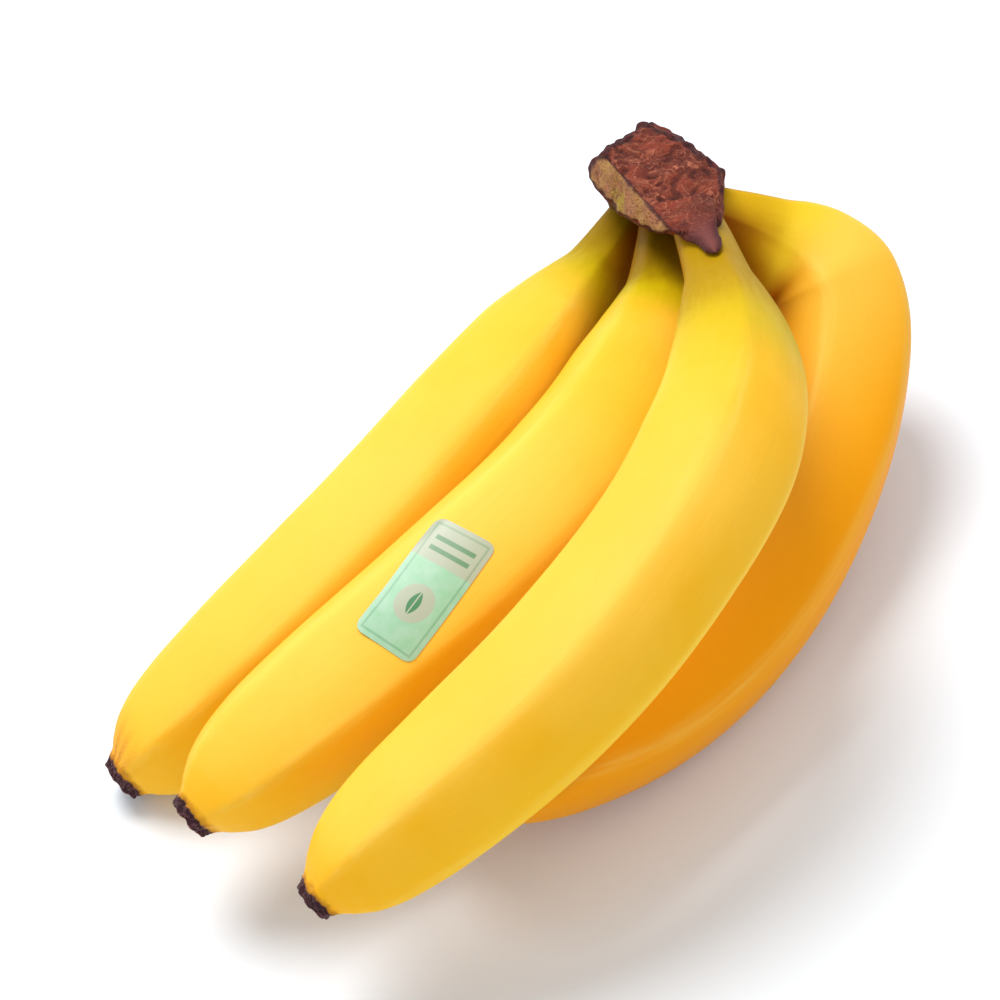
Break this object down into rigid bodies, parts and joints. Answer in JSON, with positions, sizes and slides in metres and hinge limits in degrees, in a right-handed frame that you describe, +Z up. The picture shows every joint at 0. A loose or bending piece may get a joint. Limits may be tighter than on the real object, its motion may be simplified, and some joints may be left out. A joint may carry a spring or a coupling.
{
  "type": "bunch of bananas",
  "caption": "Small bunch of ripe bananas on a cut brown crown, lying with the crown raised and the tips spread, with a plain two-tone paper label on one finger.",
  "frame": {"origin": "on the table, under the middle of the bunch's bounding box", "axes": "+Z up from the table; +Y away from someone who faces the fingertips, towards the crown; +X to their right"},
  "size_m": [0.1688, 0.196, 0.091],
  "materials": {
    "peel": "smooth waxy yellow peel with soft ridges, greener at the neck and dark brown at the blossom end",
    "crown": "dry fibrous brown stalk with a paler cut facet",
    "label": "thin satin paper in mint green and cream, with no text"
  },
  "bodies": {
    "root": {"crown": "crown", "finger_1": "peel", "finger_2": "peel", "finger_3": "peel", "finger_4": "peel", "finger_5": "peel", "fruit_sticker": "label"}
  },
  "joints": []
}
